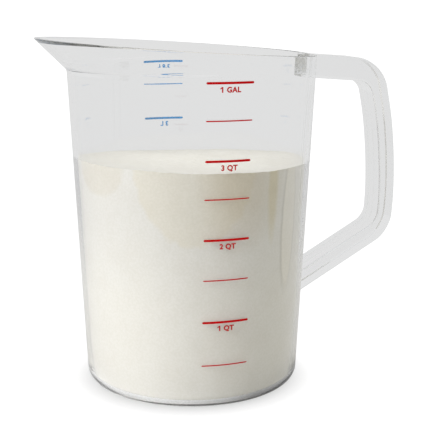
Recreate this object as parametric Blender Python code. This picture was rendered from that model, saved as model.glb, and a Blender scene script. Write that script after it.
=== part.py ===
# Clear moulded measuring jug with a wide pouring lip, a loop handle and a
# fill of fine powder. Metres, +Z up. The origin is on the jug's axis, on the
# surface that it stands on. The lip points along -X and the handle along +X.

import math

import bmesh
import bpy
from mathutils import Vector

# Jug wall and base
BASE_RADIUS = 0.07315       # outer wall carried down to the table
WALL_LEAN = 0.0500          # outer radius gained for each metre of height
WALL = 0.0033
FLOOR = 0.0038
BASE_FILLET = 0.0093
FLOOR_FILLET = 0.0060
SIDES = 128                 # facets round the jug
FILLET_STEPS = 6

# Rim and pouring lip
RIM_HEIGHT = 0.2307         # rim plane where it crosses the axis
RIM_SLOPE = -0.0627         # the rim falls from the lip to the handle
RIM_ROUND = 0.0007
LIP_START = 0.2160          # height of the crease where the lip leaves the wall
LIP_REACH = 0.1057          # axis to the tip of the lip
LIP_STEPS = 3

# Loop handle, as corners (x, z, rounding radius) of its two edges in the XZ plane
HANDLE_OUTER = [
    (0.0720, 0.2257, 0.0),
    (0.1364, 0.2209, 0.0260),
    (0.1499, 0.1525, 0.2670),
    (0.1460, 0.0970, 0.0240),
    (0.0660, 0.0514, 0.0),
]
HANDLE_INNER = [
    (0.0660, 0.0658, 0.0),
    (0.1350, 0.1052, 0.0130),
    (0.1381, 0.1524, 0.2780),
    (0.1272, 0.2053, 0.0110),
    (0.0720, 0.2097, 0.0),
]
HANDLE_WIDTH = 0.0250
HANDLE_EDGE = 0.0022        # rounding along the handle's edges
ARC_STEP = math.radians(9)  # turn between points on a rounded corner

# Powder
FIT_GAP = 0.0003            # powder to the inside of the jug
FILL_LEVEL = 0.1547         # mean height of the surface
FILL_TILT_X = -0.0019       # rise towards the handle side
FILL_TILT_Y = -0.0035       # rise towards the far side
FILL_SADDLE = 0.0017        # the surface is saddle-shaped, highest along X
FILL_RIPPLE = 0.0004
FILL_SIDES = 96
FILL_RINGS = 9

WALL_ANGLE = math.atan(WALL_LEAN)


def clear_scene():
    for obj in list(bpy.data.objects):
        bpy.data.objects.remove(obj, do_unlink=True)


def make_collection(name):
    collection = bpy.data.collections.new(name)
    bpy.context.scene.collection.children.link(collection)
    return collection


def make_material(name, colour, roughness, transmission=0.0, ior=1.5):
    material = bpy.data.materials.new(name)
    material.use_nodes = True
    shader = material.node_tree.nodes["Principled BSDF"]
    shader.inputs["Base Color"].default_value = (*colour, 1.0)
    shader.inputs["Roughness"].default_value = roughness
    shader.inputs["Metallic"].default_value = 0.0
    shader.inputs["Transmission Weight"].default_value = transmission
    shader.inputs["IOR"].default_value = ior
    return material


def wall_radius(z):
    return BASE_RADIUS + WALL_LEAN * z


def rim_point(angle):
    # The rim is round on the handle side and half an ellipse on the lip side.
    side = wall_radius(RIM_HEIGHT)
    if math.cos(angle) < 0:
        radius = 1 / math.hypot(math.cos(angle) / LIP_REACH, math.sin(angle) / side)
    else:
        radius = side / (1 - WALL_LEAN * RIM_SLOPE * math.cos(angle))
    return radius, RIM_HEIGHT + RIM_SLOPE * radius * math.cos(angle)


def lip_profile(angle):
    # Section of the lip at one angle: crease and rim of the outer and inner faces.
    rim_radius, rim_z = rim_point(angle)
    crease_radius = wall_radius(LIP_START)
    lean = math.atan2(rim_radius - crease_radius, rim_z - LIP_START)
    crease_rise = WALL * math.tan((lean - WALL_ANGLE) / 2)
    inner_z = LIP_START + crease_rise
    outer = (Vector((crease_radius, LIP_START)), Vector((rim_radius, rim_z)))
    inner = (
        Vector((wall_radius(inner_z) - WALL, inner_z)),
        Vector((rim_radius - WALL * math.cos(WALL_ANGLE) / math.cos(lean), rim_z)),
    )
    return outer, inner


def fillet_profile(wall_at_base, floor, radius):
    # Quarter round from a level floor up to the leaning wall.
    centre_z = floor + radius
    centre_r = wall_at_base + WALL_LEAN * centre_z - radius / math.cos(WALL_ANGLE)
    points = []
    for step in range(FILLET_STEPS + 1):
        turn = -math.pi / 2 + (math.pi / 2 - WALL_ANGLE) * step / FILLET_STEPS
        points.append((centre_r + radius * math.cos(turn), centre_z + radius * math.sin(turn)))
    return points


def rounded_edge(crease, rim, inset):
    # Three points that round the rim off, down the wall's own direction.
    down = (crease - rim).normalized() * RIM_ROUND
    across = Vector((inset, 0))
    return [rim + down, rim + down * 0.29 + across * 0.29, rim + across]


def loft(name, rings):
    # Closed solid through rings of equal length, from the bottom ring upwards.
    mesh = bmesh.new()
    layers = [[mesh.verts.new(point) for point in ring] for ring in rings]
    count = len(rings[0])
    for lower, upper in zip(layers, layers[1:]):
        for i in range(count):
            j = (i + 1) % count
            mesh.faces.new((lower[i], lower[j], upper[j], upper[i]))
    mesh.faces.new(reversed(layers[0]))
    mesh.faces.new(layers[-1])
    bmesh.ops.recalc_face_normals(mesh, faces=mesh.faces)
    data = bpy.data.meshes.new(name)
    mesh.to_mesh(data)
    mesh.free()
    data.shade_smooth()
    data.set_sharp_from_angle(angle=math.radians(30))
    return bpy.data.objects.new(name, data)


def turn_ring(sides, section):
    # One ring, with section(angle) giving its radius and height at each angle.
    ring = []
    for i in range(sides):
        angle = 2 * math.pi * i / sides
        radius, z = section(angle)
        ring.append((radius * math.cos(angle), radius * math.sin(angle), z))
    return ring


def level_ring(sides, radius, z):
    return turn_ring(sides, lambda angle: (radius, z))


def outer_shell():
    rings = [level_ring(SIDES, r, z) for r, z in fillet_profile(BASE_RADIUS, 0.0, BASE_FILLET)]
    for step in range(LIP_STEPS):
        part = step / LIP_STEPS
        rings.append(turn_ring(SIDES, lambda a: lip_profile(a)[0][0].lerp(lip_profile(a)[0][1], part)))
    for index in range(3):
        rings.append(turn_ring(SIDES, lambda a: rounded_edge(*lip_profile(a)[0], -RIM_ROUND)[index]))
    return loft("jug", rings)


def cavity():
    # Inside of the jug, carried on above the rim so that it cuts right through.
    floor_profile = fillet_profile(BASE_RADIUS - WALL, FLOOR, FLOOR_FILLET)
    rings = [level_ring(SIDES, r, z) for r, z in floor_profile]
    for step in range(LIP_STEPS):
        part = step / LIP_STEPS
        rings.append(turn_ring(SIDES, lambda a: lip_profile(a)[1][0].lerp(lip_profile(a)[1][1], part)))
    for index in range(3):
        rings.append(turn_ring(SIDES, lambda a: rounded_edge(*lip_profile(a)[1], RIM_ROUND)[index]))
    above = [(x, y, z + 0.006) for x, y, z in rings[-1]]
    rings.append(above)
    return loft("cavity", rings)


def round_corners(corners):
    # Points along a run of straight stretches joined by arcs.
    points = [Vector(corners[0][:2])]
    for before, corner, after in zip(corners, corners[1:], corners[2:]):
        here = Vector(corner[:2])
        radius = corner[2]
        back = (Vector(before[:2]) - here).normalized()
        ahead = (Vector(after[:2]) - here).normalized()
        half = back.angle(ahead) / 2
        centre = here + (back + ahead).normalized() * radius / math.sin(half)
        start = here + back * radius / math.tan(half) - centre
        turn = start.angle_signed(here + ahead * radius / math.tan(half) - centre)
        steps = max(3, math.ceil(abs(turn) / ARC_STEP))
        for step in range(steps + 1):
            spin = -turn * step / steps
            points.append(centre + Vector((
                start.x * math.cos(spin) - start.y * math.sin(spin),
                start.x * math.sin(spin) + start.y * math.cos(spin),
            )))
    points.append(Vector(corners[-1][:2]))
    return points


def handle_blank():
    # Flat outline extruded to the handle's width. Its ends reach into the
    # cavity, which trims them flush with the inside of the wall.
    outline = round_corners(HANDLE_OUTER) + round_corners(HANDLE_INNER)
    curve = bpy.data.curves.new("handle_outline", "CURVE")
    curve.dimensions = "2D"
    curve.fill_mode = "BOTH"
    curve.extrude = HANDLE_WIDTH / 2 - HANDLE_EDGE
    curve.bevel_depth = HANDLE_EDGE
    curve.bevel_resolution = 2
    curve.offset = -HANDLE_EDGE
    spline = curve.splines.new("POLY")
    spline.points.add(len(outline) - 1)
    for point, place in zip(spline.points, outline):
        point.co = (place.x, place.y, 0, 1)
    spline.use_cyclic_u = True
    outline_object = bpy.data.objects.new("handle_outline", curve)
    outline_object.rotation_euler = (math.pi / 2, 0, 0)
    bpy.context.scene.collection.objects.link(outline_object)
    bpy.context.view_layer.update()
    evaluated = outline_object.evaluated_get(bpy.context.evaluated_depsgraph_get())
    data = bpy.data.meshes.new_from_object(evaluated)
    welded = bmesh.new()
    welded.from_mesh(data)
    bmesh.ops.remove_doubles(welded, verts=welded.verts, dist=0.00001)
    bmesh.ops.recalc_face_normals(welded, faces=welded.faces)
    welded.to_mesh(data)
    welded.free()
    blank = bpy.data.objects.new("handle_blank", data)
    blank.matrix_world = outline_object.matrix_world
    bpy.data.objects.remove(outline_object, do_unlink=True)
    return blank


def add_boolean(obj, tool, operation):
    boolean = obj.modifiers.new(tool.name, "BOOLEAN")
    boolean.operation = operation
    boolean.solver = "EXACT"
    boolean.object = tool


def hide_tool(tool):
    tool.hide_render = True
    tool.display_type = "WIRE"


def fill_height(x, y):
    # Height of the powder's surface, a little uneven from being poured.
    reach = wall_radius(FILL_LEVEL)
    u = x / reach
    v = y / reach
    slope = FILL_TILT_X * u + FILL_TILT_Y * v
    saddle = FILL_SADDLE * (u * u - v * v)
    ripple = FILL_RIPPLE * math.sin(7.1 * u + 1.3) * math.cos(5.3 * v - 0.4)
    return FILL_LEVEL + slope + saddle + ripple


def fill_edge(angle, shrink=1.0):
    # Point of the surface at one angle, as a share of the way to the wall.
    inset = WALL + FIT_GAP
    radius = wall_radius(FILL_LEVEL) - inset
    z = fill_height(radius * math.cos(angle), radius * math.sin(angle))
    radius = (wall_radius(z) - inset) * shrink
    return radius, fill_height(radius * math.cos(angle), radius * math.sin(angle))


def powder():
    base = BASE_RADIUS - WALL - FIT_GAP
    profile = fillet_profile(base, FLOOR + FIT_GAP, FLOOR_FILLET - FIT_GAP)
    rings = [level_ring(FILL_SIDES, r, z) for r, z in profile]
    for ring in range(FILL_RINGS):
        shrink = 1 - ring / FILL_RINGS
        rings.append(turn_ring(FILL_SIDES, lambda a: fill_edge(a, shrink)))
    return loft("powder", rings)


def build():
    clear_scene()
    parts = make_collection("measuring_jug")
    tools = make_collection("cutters")
    clear = make_material("clear_plastic", (0.94, 0.95, 0.95), 0.04, 1.0, 1.585)
    cream = make_material("cream_powder", (0.86, 0.84, 0.78), 0.9)

    jug = outer_shell()
    handle = handle_blank()
    hollow = cavity()
    parts.objects.link(jug)
    tools.objects.link(handle)
    tools.objects.link(hollow)
    add_boolean(jug, handle, "UNION")
    add_boolean(jug, hollow, "DIFFERENCE")
    hide_tool(handle)
    hide_tool(hollow)
    jug.data.materials.append(clear)

    fill = powder()
    parts.objects.link(fill)
    fill.data.materials.append(cream)


build()
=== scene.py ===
import math

import bmesh
import bpy
from mathutils import Matrix, Vector, noise


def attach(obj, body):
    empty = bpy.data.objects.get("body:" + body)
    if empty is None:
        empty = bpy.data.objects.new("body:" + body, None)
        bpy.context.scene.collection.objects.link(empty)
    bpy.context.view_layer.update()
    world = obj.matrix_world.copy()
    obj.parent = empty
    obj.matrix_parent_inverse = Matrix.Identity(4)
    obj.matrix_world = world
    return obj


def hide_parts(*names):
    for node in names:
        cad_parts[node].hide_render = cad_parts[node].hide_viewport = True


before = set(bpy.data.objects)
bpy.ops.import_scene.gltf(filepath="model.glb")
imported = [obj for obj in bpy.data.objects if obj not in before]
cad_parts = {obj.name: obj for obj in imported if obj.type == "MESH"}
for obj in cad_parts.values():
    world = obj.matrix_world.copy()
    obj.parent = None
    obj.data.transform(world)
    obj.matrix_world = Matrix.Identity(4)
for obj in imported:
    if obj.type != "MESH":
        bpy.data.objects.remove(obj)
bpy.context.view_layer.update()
print("frame loaded")


# ---- shared helpers

sharpAngle = 32      # edges that bend more than this, in degrees, stay sharp
mergeDistance = 0.000001


def makeObject(name, bm, materials):
    mesh = bpy.data.meshes.new(name)
    bm.to_mesh(mesh)
    bm.free()
    mesh.shade_smooth()
    mesh.set_sharp_from_angle(angle=math.radians(sharpAngle))
    for material in materials:
        mesh.materials.append(material)
    piece = bpy.data.objects.new(name, mesh)
    bpy.context.scene.collection.objects.link(piece)
    return piece


def newMaterial(name):
    material = bpy.data.materials.new(name)
    material.use_nodes = True
    nodes = material.node_tree.nodes
    return material, nodes, material.node_tree.links, nodes["Principled BSDF"]


def addNoise(nodes, links, scale, detail, stretch=(1, 1, 1)):
    place = nodes.new("ShaderNodeTexCoord")
    mapping = nodes.new("ShaderNodeMapping")
    mapping.inputs["Scale"].default_value = stretch
    texture = nodes.new("ShaderNodeTexNoise")
    texture.inputs["Scale"].default_value = scale
    texture.inputs["Detail"].default_value = detail
    links.new(place.outputs["Object"], mapping.inputs["Vector"])
    links.new(mapping.outputs["Vector"], texture.inputs["Vector"])
    return texture.outputs["Fac"]


def addRange(nodes, links, source, low, high, toLow, toHigh):
    spread = nodes.new("ShaderNodeMapRange")
    spread.inputs["From Min"].default_value = low
    spread.inputs["From Max"].default_value = high
    spread.inputs["To Min"].default_value = toLow
    spread.inputs["To Max"].default_value = toHigh
    links.new(source, spread.inputs["Value"])
    return spread.outputs["Result"]


def addColours(nodes, links, source, low, high, dark, light):
    ramp = nodes.new("ShaderNodeValToRGB")
    ramp.color_ramp.elements[0].position = low
    ramp.color_ramp.elements[1].position = high
    ramp.color_ramp.elements[0].color = (*dark, 1)
    ramp.color_ramp.elements[1].color = (*light, 1)
    links.new(source, ramp.inputs["Fac"])
    return ramp.outputs["Color"]


def addBump(nodes, links, source, strength, distance, shader):
    bump = nodes.new("ShaderNodeBump")
    bump.inputs["Strength"].default_value = strength
    bump.inputs["Distance"].default_value = distance
    links.new(source, bump.inputs["Height"])
    links.new(bump.outputs["Normal"], shader.inputs["Normal"])


def spinOutline(corners, sides):
    # a chain of (radius, height, length of the curve along each side, steps) turned once round the jug's axis
    bm = bmesh.new()
    chain = [bm.verts.new((corner[0], 0, corner[1])) for corner in corners]
    for pair in zip(chain, chain[1:]):
        bm.edges.new(pair)
    for vert, corner in zip(chain, corners):
        if corner[2]:
            bmesh.ops.bevel(bm, geom=[vert], offset=corner[2], offset_type="ABSOLUTE",
                            segments=corner[3], profile=0.5, affect="VERTICES", material=-1)
    bmesh.ops.spin(bm, geom=bm.verts[:] + bm.edges[:], cent=(0, 0, 0), axis=(0, 0, 1),
                   angle=2 * math.pi, steps=sides, use_merge=True)
    bmesh.ops.remove_doubles(bm, verts=bm.verts, dist=mergeDistance)
    bmesh.ops.recalc_face_normals(bm, faces=bm.faces)
    return bm


def joinSolids(piece, tool, operation):
    # the boolean is applied and the tool removed
    boolean = piece.modifiers.new(operation, "BOOLEAN")
    boolean.operation = operation
    boolean.solver = "EXACT"
    boolean.object = tool
    depsgraph = bpy.context.evaluated_depsgraph_get()
    mesh = bpy.data.meshes.new_from_object(piece.evaluated_get(depsgraph))
    piece.modifiers.clear()
    piece.data = mesh
    bpy.data.objects.remove(tool)


# ---- jug

jug = {
    "baseRadius": 0.07315,     # outer wall carried down to the table
    "lean": 0.0500,            # outer radius gained for each metre of height
    "wall": 0.0033,
    "floor": 0.0038,
    "baseRound": 0.0088,       # length of the curve along base and wall
    "baseSteps": 12,
    "floorRound": 0.0057,
    "floorSteps": 10,
    "rimHeight": 0.2307,       # rim plane where it crosses the axis
    "rimSlope": -0.0627,
    "rimRound": 0.0007,
    "rimSteps": 4,
    "crease": 0.2160,          # height where the lip leaves the wall
    "creaseSoft": 0.0018,      # half height of the bend there, under the lip
    "creaseSpread": 0.0045,    # and what it grows by round to the sides
    "lipReach": 0.1057,
    "lipThick": 0.0005,        # extra wall just above the crease, round to the sides
    "lipFade": 0.0125,         # height over which it fades out
    "lipStart": 12,            # it is full after one part in so many of that height
    "lipMiddle": 112,          # azimuth where it is thickest, and the angle to each side of that
    "lipSpan": 20,
    "bendReach": 0.0065,       # rows this far to each side of the crease, and their spacing
    "bendRow": 0.0005,
    "bendEdge": 0.0008,        # past the bend itself every second row is enough
    "hold": 0.0004,            # rows close to each bend keep the long faces between them true
    "sides": 288,
}

handle = {
    "outer": [(0.0720, 0.2257, 0.0), (0.1364, 0.2209, 0.0260), (0.1499, 0.1525, 0.2670),
              (0.1460, 0.0970, 0.0240), (0.0660, 0.0514, 0.0)],     # x, z, rounding radius
    "inner": [(0.0660, 0.0658, 0.0), (0.1350, 0.1052, 0.0130), (0.1381, 0.1524, 0.2780),
              (0.1272, 0.2053, 0.0110), (0.0720, 0.2097, 0.0)],
    "width": 0.0250,
    "edge": 0.0014,
    "edgeSteps": 4,
    "cornerSteps": 12,
}


def wallRadius(z):
    return jug["baseRadius"] + jug["lean"] * z


def rimAt(angle):
    # round on the handle side, half an ellipse on the lip side, in one slanted plane
    side = wallRadius(jug["rimHeight"])
    if math.cos(angle) < 0:
        radius = 1 / math.hypot(math.cos(angle) / jug["lipReach"], math.sin(angle) / side)
    else:
        radius = side / (1 - jug["lean"] * jug["rimSlope"] * math.cos(angle))
    return Vector((radius, jug["rimHeight"] + jug["rimSlope"] * radius * math.cos(angle)))


def softRamp(z, angle):
    # height above the crease, with the bend rounded
    above = z - jug["crease"]
    soft = jug["creaseSoft"] + jug["creaseSpread"] * (1 - min(1, abs(math.cos(angle)))) ** 1.5
    if abs(above) < soft:
        return (above + soft) ** 2 / (4 * soft)
    return max(above, 0)


def lipSwell(z, angle):
    # the inside steps in at the crease and fades out upwards, which bends the view of the far marks
    above = (z - jug["crease"]) / jug["lipFade"]
    if above < 0 or above > 1:
        return 0
    side = max(0, 1 - ((math.degrees(abs(angle)) - jug["lipMiddle"]) / jug["lipSpan"]) ** 2)
    return jug["lipThick"] * side * min(1, above * jug["lipStart"]) * (1 - above) ** 2


def shapeLip(bm):
    # above the crease the straight wall is drawn out to the rim's own line
    wallAngle = math.atan(jug["lean"])
    for vert in bm.verts:
        z = vert.co.z
        if z <= jug["crease"] - jug["creaseSoft"] - jug["creaseSpread"]:
            continue
        radius = math.hypot(vert.co.x, vert.co.y)
        angle = math.atan2(vert.co.y, vert.co.x)
        along = softRamp(z, angle) / (jug["rimHeight"] - jug["crease"])
        inward = (wallRadius(z) - radius) / jug["wall"]
        rim = rimAt(angle)
        foot = Vector((wallRadius(jug["crease"]), jug["crease"]))
        lean = math.atan2(rim.x - foot.x, rim.y - foot.y)
        thick = jug["wall"] * math.cos(wallAngle) / math.cos(lean)
        rise = jug["wall"] * math.tan((lean - wallAngle) / 2)
        start = Vector((wallRadius(z) if z < jug["crease"] else foot.x, min(z, jug["crease"])))
        outer = start + (rim - foot) * along
        inner = start + Vector((-jug["wall"], rise))
        inner += (rim - foot - Vector((thick - jug["wall"], rise))) * along
        inner.x -= lipSwell(z, angle)
        place = outer.lerp(inner, inward)
        vert.co = (place.x * math.cos(angle), place.x * math.sin(angle), place.y)


def jugShell():
    wall = jug["wall"]
    crease = jug["crease"]
    soft = jug["creaseSoft"]
    rim = jug["rimHeight"]
    hold = jug["hold"]
    rows = []
    for step in range(2 * round(jug["bendReach"] / jug["bendRow"]) + 1):
        z = crease - jug["bendReach"] + jug["bendRow"] * step
        second = round((z - crease) / jug["bendRow"]) % 2 == 0
        if abs(z - crease) < soft + jug["bendEdge"] or second:
            rows.append(z)
    rows.append(rim - jug["rimRound"] - hold)
    outline = [(0, 0, 0), (jug["baseRadius"] - jug["baseRound"] - hold, 0, 0),
               (jug["baseRadius"], 0, jug["baseRound"], jug["baseSteps"])]
    outline += [(wallRadius(z), z, 0) for z in [jug["baseRound"] + hold] + rows]
    outline += [(wallRadius(rim), rim, jug["rimRound"], jug["rimSteps"]),
                (wallRadius(rim) - wall, rim, jug["rimRound"], jug["rimSteps"])]
    inside = [jug["floor"] + jug["floorRound"] + hold] + rows
    outline += [(wallRadius(z) - wall, z, 0) for z in reversed(inside)]
    corner = wallRadius(jug["floor"]) - wall
    outline += [(corner, jug["floor"], jug["floorRound"], jug["floorSteps"]),
                (corner - jug["floorRound"] - hold, jug["floor"], 0), (0, jug["floor"], 0)]
    bm = spinOutline(outline, jug["sides"])
    shapeLip(bm)
    return bm


def handleBar():
    # flat outline with rounded corners, extruded to the handle's width
    corners = handle["outer"] + handle["inner"]
    bm = bmesh.new()
    verts = [bm.verts.new((x, -handle["width"] / 2, z)) for x, z, radius in corners]
    bm.faces.new(verts)
    for index, (vert, corner) in enumerate(zip(verts, corners)):
        if not corner[2]:
            continue
        here = Vector(corner[:2])
        back = Vector(corners[index - 1][:2]) - here
        ahead = Vector(corners[(index + 1) % len(corners)][:2]) - here
        tangent = corner[2] / math.tan(back.angle(ahead) / 2)
        bmesh.ops.bevel(bm, geom=[vert], offset=tangent, offset_type="ABSOLUTE",
                        segments=handle["cornerSteps"], profile=0.5, affect="VERTICES", material=-1)
    grown = bmesh.ops.extrude_face_region(bm, geom=bm.faces[:])
    moved = [item for item in grown["geom"] if isinstance(item, bmesh.types.BMVert)]
    bmesh.ops.translate(bm, verts=moved, vec=(0, handle["width"], 0))
    bmesh.ops.recalc_face_normals(bm, faces=bm.faces)
    bm.normal_update()
    ridges = [edge for edge in bm.edges if abs(edge.verts[0].co.y - edge.verts[1].co.y) < 0.001]
    bmesh.ops.bevel(bm, geom=ridges, offset=handle["edge"], offset_type="OFFSET",
                    segments=handle["edgeSteps"], profile=0.5, affect="EDGES", material=-1)
    bmesh.ops.recalc_face_normals(bm, faces=bm.faces)
    return bm


def plug():
    # reaches half way into the wall, and trims the ends of the handle
    half = jug["wall"] / 2
    ends = (-0.01, 0.26)       # below the base and above the rim
    corners = [(0, ends[0], 0)] + [(wallRadius(z) - half, z, 0) for z in ends] + [(0, ends[1], 0)]
    return spinOutline(corners, jug["sides"])


clearPlastic = {
    "tint": (0.996, 0.998, 0.998),
    "ior": 1.585,
    "absorbColour": (0.90, 0.91, 0.92),
    "absorbDensity": 8.0,
    "roughLow": 0.012,
    "roughHigh": 0.035,
    "wipeScale": 38,
    "flowScale": 9,
    "flowBump": (0.12, 0.0006),     # strength and depth
}


def clearPlasticMaterial():
    values = clearPlastic
    material, nodes, links, shader = newMaterial("clearPlastic")
    shader.inputs["Base Color"].default_value = (*values["tint"], 1)
    shader.inputs["Transmission Weight"].default_value = 1
    shader.inputs["IOR"].default_value = values["ior"]
    handling = addNoise(nodes, links, values["wipeScale"], 5)     # faint wipe marks
    links.new(addRange(nodes, links, handling, 0.35, 0.7, values["roughLow"], values["roughHigh"]),
              shader.inputs["Roughness"])
    flow = addNoise(nodes, links, values["flowScale"], 1, (1, 1, 0.35))     # moulding flow, drawn up the wall
    addBump(nodes, links, flow, *values["flowBump"], shader)
    absorb = nodes.new("ShaderNodeVolumeAbsorption")
    absorb.inputs["Color"].default_value = (*values["absorbColour"], 1)
    absorb.inputs["Density"].default_value = values["absorbDensity"]
    links.new(absorb.outputs["Volume"], nodes["Material Output"].inputs["Volume"])
    return material


def buildJug():
    plastic = clearPlasticMaterial()
    body = makeObject("jugBody", jugShell(), [plastic])
    bar = makeObject("bar", handleBar(), [plastic])
    joinSolids(bar, makeObject("plug", plug(), [plastic]), "DIFFERENCE")
    joinSolids(body, bar, "UNION")
    bm = bmesh.new()
    bm.from_mesh(body.data)
    bmesh.ops.remove_doubles(bm, verts=bm.verts, dist=2 * mergeDistance)
    bmesh.ops.dissolve_degenerate(bm, edges=bm.edges, dist=2 * mergeDistance)
    print("open edges", sum(1 for edge in bm.edges if not edge.is_manifold))
    bm.to_mesh(body.data)
    bm.free()
    body.data.shade_smooth()
    body.data.set_sharp_from_angle(angle=math.radians(sharpAngle))
    flatten = body.modifiers.new("flatFaces", "WEIGHTED_NORMAL")     # wide faces stay flat to the eye
    flatten.keep_sharp = True
    flatten.weight = 100
    depsgraph = bpy.context.evaluated_depsgraph_get()
    body.data = bpy.data.meshes.new_from_object(body.evaluated_get(depsgraph))
    body.modifiers.clear()
    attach(body, "root")
    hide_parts("jug")
    body.visible_shadow = False        # clear plastic lets the lamps through to the powder
    print("jug", len(body.data.vertices))
    return body


# ---- powder

powder = {
    "overlap": 0.00015,        # reach into the wall
    "level": 0.1547,
    "tiltX": -0.0019,
    "tiltY": -0.0035,
    "saddle": 0.0017,
    "ripple": 0.0004,
    "grain": 0.00025,
    "grainScale": 260,
    "sides": 256,
    "rings": 60,
}


def fillHeight(x, y):
    reach = wallRadius(powder["level"])
    u = x / reach
    v = y / reach
    slope = powder["tiltX"] * u + powder["tiltY"] * v
    saddle = powder["saddle"] * (u * u - v * v)
    ripple = powder["ripple"] * math.sin(7.1 * u + 1.3) * math.cos(5.3 * v - 0.4)
    return powder["level"] + slope + saddle + ripple


def buildPowder():
    inset = jug["wall"] - powder["overlap"]
    floor = jug["floor"] - powder["overlap"]
    level = powder["level"]
    edge = wallRadius(level) - inset
    wallRows = [0.03, 0.06, 0.09, 0.12]
    outline = [(0, floor, 0), (wallRadius(floor) - inset, floor, jug["floorRound"], jug["floorSteps"])]
    outline += [(wallRadius(z) - inset, z, 0) for z in wallRows]
    outline += [(edge * (1 - ring / powder["rings"]), level, 0) for ring in range(powder["rings"] + 1)]
    bm = spinOutline(outline, powder["sides"])
    for vert in bm.verts:
        if vert.co.z < level - 0.0001:
            continue
        z = fillHeight(vert.co.x, vert.co.y)
        reach = math.hypot(vert.co.x, vert.co.y) / edge
        z += powder["grain"] * noise.fractal(vert.co * powder["grainScale"], 1.0, 2.0, 4)
        swell = (wallRadius(z) - inset) / edge
        vert.co.x *= 1 + (swell - 1) * reach
        vert.co.y *= 1 + (swell - 1) * reach
        vert.co.z = z
    bmesh.ops.recalc_face_normals(bm, faces=bm.faces)
    bm.normal_update()
    for face in bm.faces:
        face.material_index = 0 if face.normal.z > 0.5 else 1
    materials = [powderMaterial("powderTop", False), powderMaterial("powderAtWall", True)]
    piece = makeObject("powderFill", bm, materials)
    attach(piece, "root")
    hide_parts("powder")
    print("powder", len(piece.data.vertices))
    return piece


powderLook = {
    "dark": (0.848, 0.820, 0.724),
    "light": (0.866, 0.842, 0.750),
    "clumpScale": 60,
    "speckScale": 650,
    "speckShade": 0.965,
    "grainScale": 1400,
    "grainBump": (0.25, 0.0003),     # strength and depth
    "roughness": 0.95,
    "plasticIor": 1.585,
    "mirrorHigh": (0.070, 0.125, 0.45, 1.0),     # heights, and how much of the plastic mirrors at each
    "mirrorLow": (0.008, 0.016, 1.0, 0.45),
    "mirrorRoughness": 0.02,
    "edgeWobble": 0.16,
    # painted shade and a painted highlight on the powder's wall side: darker, yellower ovals where the shade
    # falls, and a painted light streak edged by a painted dark rim:
    "wobbleScale": 120,
    # where the powder packed differently against the wall:
    # azimuth, height, half width, half height, softness, tint
    "paintedLightAndShade": [(-104.5, 0.165, 0.0390, 0.0550, 0.035, (0.990, 0.968, 0.905)),
                (-155.0, 0.158, 0.0215, 0.0195, 0.08, (0.955, 0.935, 0.890)),
                (-80.0, 0.152, 0.0230, 0.0340, 0.45, (0.900, 0.860, 0.780)),
                (-64.5, 0.145, 0.0038, 0.0300, 0.35, (0.930, 0.890, 0.740)),
                # the painted dark rim, then the painted light streak inside it
                (-52.0, 0.120, 0.0078, 0.0460, 0.10, (0.840, 0.830, 0.800)),
                (-51.6, 0.121, 0.0064, 0.0447, 0.10, (1.240, 1.240, 1.250))],
}


def addPaintedOval(nodes, links, colour, wobble, patch):
    # paints shade into an oval of the powder's wall side where the tint is below one, and a highlight where
    # it is above one
    azimuth, height, halfWidth, halfHeight, soft, tint = patch
    halfDepth = 0.05
    turn = math.radians(azimuth)
    radius = wallRadius(height) - jug["wall"]
    place = nodes.new("ShaderNodeTexCoord")
    oval = nodes.new("ShaderNodeMapping")
    oval.vector_type = "TEXTURE"
    oval.inputs["Location"].default_value = (radius * math.cos(turn), radius * math.sin(turn), height)
    oval.inputs["Rotation"].default_value = (0, 0, turn)
    oval.inputs["Scale"].default_value = (halfDepth, halfWidth, halfHeight)
    reach = nodes.new("ShaderNodeVectorMath")
    reach.operation = "LENGTH"
    rough = nodes.new("ShaderNodeMath")
    rough.operation = "MULTIPLY_ADD"
    rough.inputs[1].default_value = powderLook["edgeWobble"]
    mix = nodes.new("ShaderNodeMix")
    mix.data_type = "RGBA"
    mix.blend_type = "MULTIPLY"
    links.new(place.outputs["Object"], oval.inputs["Vector"])
    links.new(oval.outputs["Vector"], reach.inputs[0])
    links.new(wobble, rough.inputs[0])
    links.new(reach.outputs["Value"], rough.inputs[2])
    edge = 1 + powderLook["edgeWobble"] / 2
    links.new(addRange(nodes, links, rough.outputs["Value"], edge - soft, edge + soft, 1, 0),
              mix.inputs["Factor"])
    links.new(colour, mix.inputs["A"])
    mix.inputs["B"].default_value = (*tint, 1)
    return mix.outputs["Result"]


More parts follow.
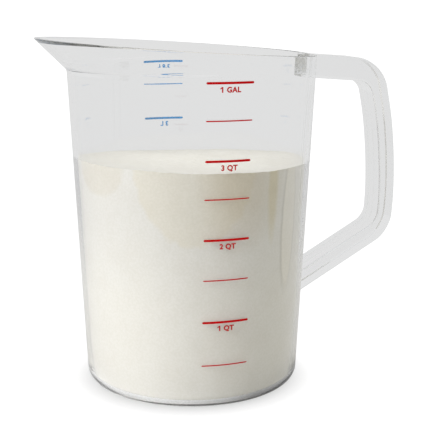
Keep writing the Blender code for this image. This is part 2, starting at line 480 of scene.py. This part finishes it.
def powderMaterial(name, atWall):
    values = powderLook
    material, nodes, links, shader = newMaterial(name)
    clumps = addNoise(nodes, links, values["clumpScale"], 8)
    colour = addColours(nodes, links, clumps, 0.3, 0.6, values["dark"], values["light"])
    grains = addNoise(nodes, links, values["grainScale"], 4)
    if atWall:
        wobble = addNoise(nodes, links, values["wobbleScale"], 4)
        # painted shade and painted highlight ovals, only on the wall side
        for patch in values["paintedLightAndShade"]:
            colour = addPaintedOval(nodes, links, colour, wobble, patch)
    specks = nodes.new("ShaderNodeMix")
    specks.data_type = "RGBA"
    specks.blend_type = "MULTIPLY"
    shade = values["speckShade"]
    speckle = addNoise(nodes, links, values["speckScale"], 3)
    links.new(addColours(nodes, links, speckle, 0.42, 0.60, (shade, shade, shade * 0.985), (1, 1, 1)),
              specks.inputs["B"])
    specks.inputs["Factor"].default_value = 1
    links.new(colour, specks.inputs["A"])
    links.new(specks.outputs["Result"], shader.inputs["Base Color"])
    shader.inputs["Roughness"].default_value = values["roughness"]
    shader.inputs["Specular IOR Level"].default_value = 0.1
    addBump(nodes, links, grains, *values["grainBump"], shader)
    if atWall:
        # dry grains only touch the plastic here and there, so its inside still mirrors at a low angle
        mirror = nodes.new("ShaderNodeBsdfGlossy")
        mirror.inputs["Roughness"].default_value = values["mirrorRoughness"]
        fresnel = nodes.new("ShaderNodeFresnel")
        fresnel.inputs["IOR"].default_value = 1 / values["plasticIor"]
        place = nodes.new("ShaderNodeTexCoord")
        upward = nodes.new("ShaderNodeSeparateXYZ")
        clear = nodes.new("ShaderNodeMath")
        clear.operation = "MAXIMUM"
        share = nodes.new("ShaderNodeMath")
        share.operation = "MULTIPLY"
        blend = nodes.new("ShaderNodeMixShader")
        links.new(place.outputs["Object"], upward.inputs["Vector"])
        links.new(addRange(nodes, links, upward.outputs["Z"], *values["mirrorHigh"]), clear.inputs[0])
        links.new(addRange(nodes, links, upward.outputs["Z"], *values["mirrorLow"]), clear.inputs[1])
        links.new(clear.outputs["Value"], share.inputs[0])
        links.new(fresnel.outputs["Fac"], share.inputs[1])
        links.new(share.outputs["Value"], blend.inputs["Fac"])
        links.new(shader.outputs["BSDF"], blend.inputs[1])
        links.new(mirror.outputs["BSDF"], blend.inputs[2])
        links.new(blend.outputs["Shader"], nodes["Material Output"].inputs["Surface"])
    return material


# ---- printed scales

scales = {
    "under": 0.00005,          # print sinks into the wall and stands out of it
    "over": 0.00006,
    "thick": 0.0015,
    "thin": 0.0008,
    "textHeight": 0.0033,
    "textDrop": 0.0020,        # from the middle of its line to the top of the text
    "textWeight": 0.00018,
    "capShare": 1.4,           # font size for each unit of letter height
    "flagReach": 0.0011,       # the short upstroke of a one
    "flagDrops": (0.0008, 0.0015, 0.0009),     # its tip's top and bottom, and its foot, below the one's top
    "wearScale": 900,
}

quarts = {
    "name": "quartScale", "slot": "red_print", "colour": (0.50, 0.0, 0.001), "textAt": -89.2,
    "marks": [(0.2132, -99.8, -78.6, "1 GAL"), (0.1899, -99.9, -78.9, ""), (0.1648, -100.1, -79.2, "3 QT"),
              (0.1406, -100.4, -79.0, ""), (0.1144, -100.6, -78.5, "2 QT"), (0.0880, -100.7, -78.2, ""),
              (0.0600, -101.0, -77.6, "1 QT"), (0.0307, -101.3, -77.4, "")],
}

litres = {
    "name": "litreScale", "slot": "blue_print", "colour": (0.0, 0.30, 0.70), "textAt": 89.1,
    "marks": [(0.2140, 78.9, 100.3, "3.8 L"), (0.1992, 78.9, 100.3, ""), (0.1735, 78.9, 100.3, "3 L"),
              (0.1475, 78.9, 100.3, ""), (0.1203, 78.9, 100.3, "2 L"), (0.0925, 78.9, 100.3, ""),
              (0.0632, 78.9, 100.3, "1 L"), (0.0324, 78.9, 100.3, "")],
}


def wrapOnWall(bm, azimuth, height):
    # flat print, x along and y up, laid round the outer wall
    for vert in bm.verts:
        z = height + vert.co.y
        angle = math.radians(azimuth) + vert.co.x / wallRadius(z)
        radius = wallRadius(z) + vert.co.z
        vert.co = (radius * math.cos(angle), radius * math.sin(angle), z)


def lineMark(height, start, end, thick):
    # a bar with round ends
    length = math.radians(end - start) * wallRadius(height)
    half = thick / 2
    bm = bmesh.new()
    bmesh.ops.create_grid(bm, x_segments=48, y_segments=4, size=1)
    for vert in bm.verts:
        share = vert.co.x
        vert.co.x = share * length / 2
        fromEnd = length / 2 - abs(vert.co.x)
        fullness = math.sqrt(max(0.02, 1 - (1 - fromEnd / half) ** 2)) if fromEnd < half else 1
        vert.co.y *= half * fullness
        vert.co.z = scales["over"]
    grown = bmesh.ops.extrude_face_region(bm, geom=bm.faces[:])
    moved = [item for item in grown["geom"] if isinstance(item, bmesh.types.BMVert)]
    bmesh.ops.translate(bm, verts=moved, vec=(0, 0, -scales["over"] - scales["under"]))
    wrapOnWall(bm, (start + end) / 2, height)
    return bm


def addFlag(bm):
    # the short upstroke on the left of a one
    left = min(vert.co.x for vert in bm.verts)
    top = max(vert.co.y for vert in bm.verts if vert.co.x < left + 0.0003)
    back = min(vert.co.z for vert in bm.verts)
    front = max(vert.co.z for vert in bm.verts)
    tip = left - scales["flagReach"]
    tipTop, tipBottom, foot = [top - drop for drop in scales["flagDrops"]]
    corners = [(left, top), (tip, tipTop), (tip, tipBottom), (left, foot)]
    face = bm.faces.new([bm.verts.new((x, y, back)) for x, y in corners])
    grown = bmesh.ops.extrude_face_region(bm, geom=[face])
    moved = [item for item in grown["geom"] if isinstance(item, bmesh.types.BMVert)]
    bmesh.ops.translate(bm, verts=moved, vec=(0, 0, front - back))


def label(text, azimuth, height):
    curve = bpy.data.curves.new("label", "FONT")
    curve.body = text
    curve.align_x = "CENTER"
    curve.align_y = "TOP"
    curve.size = scales["textHeight"] * scales["capShare"]
    curve.space_character = 1.08
    curve.space_word = 0.9
    curve.offset = scales["textWeight"]
    curve.extrude = (scales["over"] + scales["under"]) / 2
    curve.resolution_u = 4
    lettering = bpy.data.objects.new("label", curve)
    bpy.context.scene.collection.objects.link(lettering)
    depsgraph = bpy.context.evaluated_depsgraph_get()
    mesh = bpy.data.meshes.new_from_object(lettering.evaluated_get(depsgraph))
    bpy.data.objects.remove(lettering)
    bm = bmesh.new()
    bm.from_mesh(mesh)
    bmesh.ops.remove_doubles(bm, verts=bm.verts, dist=mergeDistance)
    if text.startswith("1"):
        addFlag(bm)
    bmesh.ops.translate(bm, verts=bm.verts, vec=(0, 0, (scales["over"] - scales["under"]) / 2))
    wrapOnWall(bm, azimuth, height)
    return bm


def printMaterial(values):
    material, nodes, links, shader = newMaterial(values["slot"])
    wear = addNoise(nodes, links, scales["wearScale"], 3)
    dark = [channel * 0.8 for channel in values["colour"]]
    links.new(addColours(nodes, links, wear, 0.35, 0.65, dark, values["colour"]), shader.inputs["Base Color"])
    links.new(addRange(nodes, links, wear, 0.3, 0.7, 0.5, 0.65), shader.inputs["Roughness"])
    shader.inputs["Specular IOR Level"].default_value = 0.08
    return material


def buildScale(values):
    whole = bmesh.new()
    for height, start, end, text in values["marks"]:
        parts = [lineMark(height, start, end, scales["thick"] if text else scales["thin"])]
        if text:
            parts.append(label(text, values["textAt"], height - scales["textDrop"]))
        for part in parts:
            mesh = bpy.data.meshes.new("part")
            part.to_mesh(mesh)
            part.free()
            whole.from_mesh(mesh)
            bpy.data.meshes.remove(mesh)
    bmesh.ops.recalc_face_normals(whole, faces=whole.faces)
    piece = makeObject(values["name"], whole, [printMaterial(values)])
    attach(piece, "root")
    print(values["name"], len(piece.data.vertices))
    return piece


# ---- camera, floor and light

view = {
    "place": (-0.20701, -0.72836, 0.27155),
    "ahead": (0.28770, 0.93604, -0.20265),
    "up": (0.05679, 0.19456, 0.97925),
    "focal": 1113.09 / 430,    # in frame widths
    "sensor": 36.0,
}

studio = {
    "floorShade": 0.25,         # how much light and shadow the cut-out white table shows
    "floorLift": 0.93,
    "floorPaintedShadow": (0.0640, 0.0880, -0.36, 0.0),     # painted shadow close round the base, in the glow the camera sees
    "floorBounce": 0.50,        # and the soft grey table that the jug sees
    "floorGlow": 0.36,
    # painted light and painted shade on the table under the base, which only the jug sees
    "basePaintedLightAcross": (0.88, 0.47, 0),
    "basePaintedLight": (-0.066, -0.008, 0.40, -0.20),
    "basePaintedLightReach": (0.076, 0.105, 1.0, 0.0),
    "floorGap": 0.0002,         # air under the base
    "floorSize": 60.0,
    "world": 0.778,
    "bounces": 96,              # enough for light that runs along inside the wall
    "lights": [
        ("leftSoftbox", (-1.47, -0.58, 1.02), 1.1, 25.5, (0.97, 0.985, 1.085)),
        ("rightFill", (1.50, -0.45, 0.60), 0.9, 5.0, (1.0, 1.0, 1.0)),
    ],
}


def addCamera():
    camera = bpy.data.cameras.new("camera")
    camera.sensor_width = view["sensor"]
    camera.lens = view["focal"] * view["sensor"]
    camera.clip_start = 0.01
    camera.clip_end = 60
    rig = bpy.data.objects.new("camera", camera)
    ahead = Vector(view["ahead"]).normalized()
    right = ahead.cross(Vector(view["up"])).normalized()
    upright = right.cross(ahead)
    turn = Matrix((right, upright, -ahead)).transposed().to_4x4()
    rig.matrix_world = Matrix.Translation(view["place"]) @ turn
    bpy.context.scene.collection.objects.link(rig)
    bpy.context.scene.camera = rig


def addFloor():
    bm = bmesh.new()
    bmesh.ops.create_grid(bm, x_segments=1, y_segments=1, size=studio["floorSize"] / 2)
    bmesh.ops.translate(bm, verts=bm.verts, vec=(0, 0, -studio["floorGap"]))
    material, nodes, links, shader = newMaterial("floor")
    shader.inputs["Roughness"].default_value = 0.9
    shader.inputs["Specular IOR Level"].default_value = 0.0
    shader.inputs["Emission Color"].default_value = (1, 1, 1, 1)
    direct = nodes.new("ShaderNodeLightPath").outputs["Is Camera Ray"]
    glow = addRange(nodes, links, direct, 0, 1, studio["floorGlow"], studio["floorLift"])
    links.new(addRange(nodes, links, direct, 0, 1, studio["floorBounce"], studio["floorShade"]),
              shader.inputs["Base Color"])
    # painted light from the left and painted shade to the right on the table under the clear base, seen only
    # by the jug; the camera sees a painted shadow close round the base instead
    place = nodes.new("ShaderNodeTexCoord")
    reach = nodes.new("ShaderNodeVectorMath")
    reach.operation = "LENGTH"
    across = nodes.new("ShaderNodeVectorMath")
    across.operation = "DOT_PRODUCT"
    across.inputs[1].default_value = studio["basePaintedLightAcross"]
    either = nodes.new("ShaderNodeMix")
    under = nodes.new("ShaderNodeMath")
    under.operation = "MULTIPLY"
    total = nodes.new("ShaderNodeMath")
    links.new(place.outputs["Object"], reach.inputs[0])
    links.new(place.outputs["Object"], across.inputs[0])
    links.new(direct, either.inputs["Factor"])
    links.new(addRange(nodes, links, reach.outputs["Value"], *studio["basePaintedLightReach"]), under.inputs[0])
    links.new(addRange(nodes, links, across.outputs["Value"], *studio["basePaintedLight"]), under.inputs[1])
    links.new(under.outputs["Value"], either.inputs["A"])
    links.new(addRange(nodes, links, reach.outputs["Value"], *studio["floorPaintedShadow"]), either.inputs["B"])
    links.new(glow, total.inputs[0])
    links.new(either.outputs["Result"], total.inputs[1])
    links.new(total.outputs["Value"], shader.inputs["Emission Strength"])
    makeObject("floor", bm, [material])


def addLights(lit):
    world = bpy.data.worlds.new("studio")
    world.use_nodes = True
    nodes = world.node_tree.nodes
    links = world.node_tree.links
    direct = nodes.new("ShaderNodeLightPath")      # the backdrop is white, and lights the jug as a soft grey
    strength = addRange(nodes, links, direct.outputs["Is Camera Ray"], 0, 1, studio["world"], 1.0)
    nodes["Background"].inputs["Color"].default_value = (1, 1, 1, 1)
    links.new(strength, nodes["Background"].inputs["Strength"])
    bpy.context.scene.world = world
    # the lamps light the jug and what is in it, not the table
    group = bpy.data.collections.new("lampsLight")
    for piece in lit:
        group.objects.link(piece)
    for name, place, size, power, colour in studio["lights"]:
        light = bpy.data.lights.new(name, "AREA")
        light.shape = "DISK"
        light.size = size
        light.energy = power
        light.color = colour
        lamp = bpy.data.objects.new(name, light)
        lamp.location = place
        aim = Vector((0, 0, 0.1)) - Vector(place)
        lamp.rotation_euler = aim.to_track_quat("-Z", "Y").to_euler()
        lamp.visible_glossy = False
        lamp.visible_transmission = False
        lamp.light_linking.receiver_collection = group
        bpy.context.scene.collection.objects.link(lamp)
    bpy.context.scene.view_settings.view_transform = "Standard"
    bpy.context.scene.cycles.max_bounces = studio["bounces"]
    bpy.context.scene.cycles.transmission_bounces = studio["bounces"]
    bpy.context.scene.cycles.glossy_bounces = studio["bounces"]


addCamera()
print("camera set")
pieces = [buildJug(), buildPowder(), buildScale(quarts), buildScale(litres)]
addFloor()
addLights(pieces)
print("studio set")
